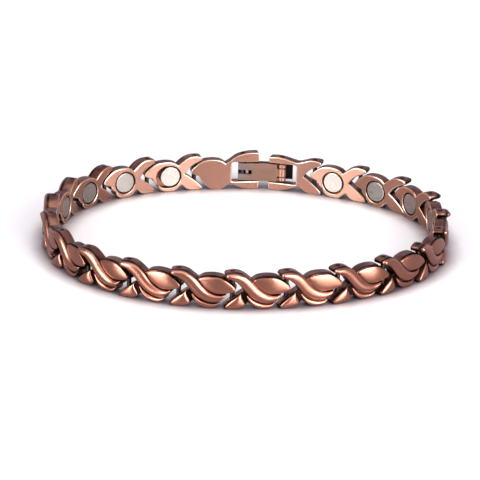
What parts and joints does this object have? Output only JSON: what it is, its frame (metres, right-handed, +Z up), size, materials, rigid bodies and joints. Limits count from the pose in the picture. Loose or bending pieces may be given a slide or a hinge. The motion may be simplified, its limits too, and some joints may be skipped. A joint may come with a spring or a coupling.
{
  "type": "magnetic bracelet",
  "caption": "Closed link bracelet in antique copper with raised leaf and ribbon links, small round magnets on the wrist side and a fold-over clasp, lying on its side.",
  "frame": {"origin": "middle of the loop's bounding box, on the surface it lies on", "axes": "+Z up the band, +Y from the loop's middle to the clasp, +X along the loop's longer side"},
  "size_m": [0.0716, 0.0628, 0.0069],
  "materials": {
    "antique_copper": "satin antique copper plating with darker recesses and bright edges",
    "nickel_plate": "satin nickel plating",
    "pin_steel": "drawn steel wire",
    "clasp_steel": "brushed sheet steel with a worn copper tint"
  },
  "bodies": {
    "band": {"link_01": "antique_copper", "link_02": "antique_copper", "link_03": "antique_copper", "link_04": "antique_copper", "link_05": "antique_copper", "link_06": "antique_copper", "link_07": "antique_copper", "link_08": "antique_copper", "link_09": "antique_copper", "link_10": "antique_copper", "link_11": "antique_copper", "link_12": "antique_copper", "link_13": "antique_copper", "link_14": "antique_copper", "link_15": "antique_copper", "link_16": "antique_copper", "link_17": "antique_copper", "link_18": "antique_copper", "link_19": "antique_copper", "link_20": "antique_copper", "magnet_01": "nickel_plate", "magnet_02": "nickel_plate", "magnet_03": "nickel_plate", "magnet_04": "nickel_plate", "magnet_05": "nickel_plate", "magnet_06": "nickel_plate", "magnet_07": "nickel_plate", "magnet_08": "nickel_plate", "magnet_09": "nickel_plate", "magnet_10": "nickel_plate", "magnet_11": "nickel_plate", "magnet_12": "nickel_plate", "magnet_13": "nickel_plate", "magnet_14": "nickel_plate", "magnet_15": "nickel_plate", "magnet_16": "nickel_plate", "magnet_17": "nickel_plate", "magnet_18": "nickel_plate", "magnet_19": "nickel_plate", "magnet_20": "nickel_plate", "link_pins": "pin_steel", "end_link_tail": "antique_copper", "end_link_plate": "antique_copper", "clasp_hinge_pin": "pin_steel", "clasp_catch_bar": "pin_steel", "clasp_base": "clasp_steel"},
    "clasp_lever": {"clasp_cover": "clasp_steel"}
  },
  "joints": [
    {"name": "clasp_lever_swing", "type": "hinge", "parent": "band", "child": "clasp_lever", "pos_m": [0.00548, 0.02971, 0.0033], "axis": [0, 0, -1], "range_deg": [0, 110]}
  ]
}
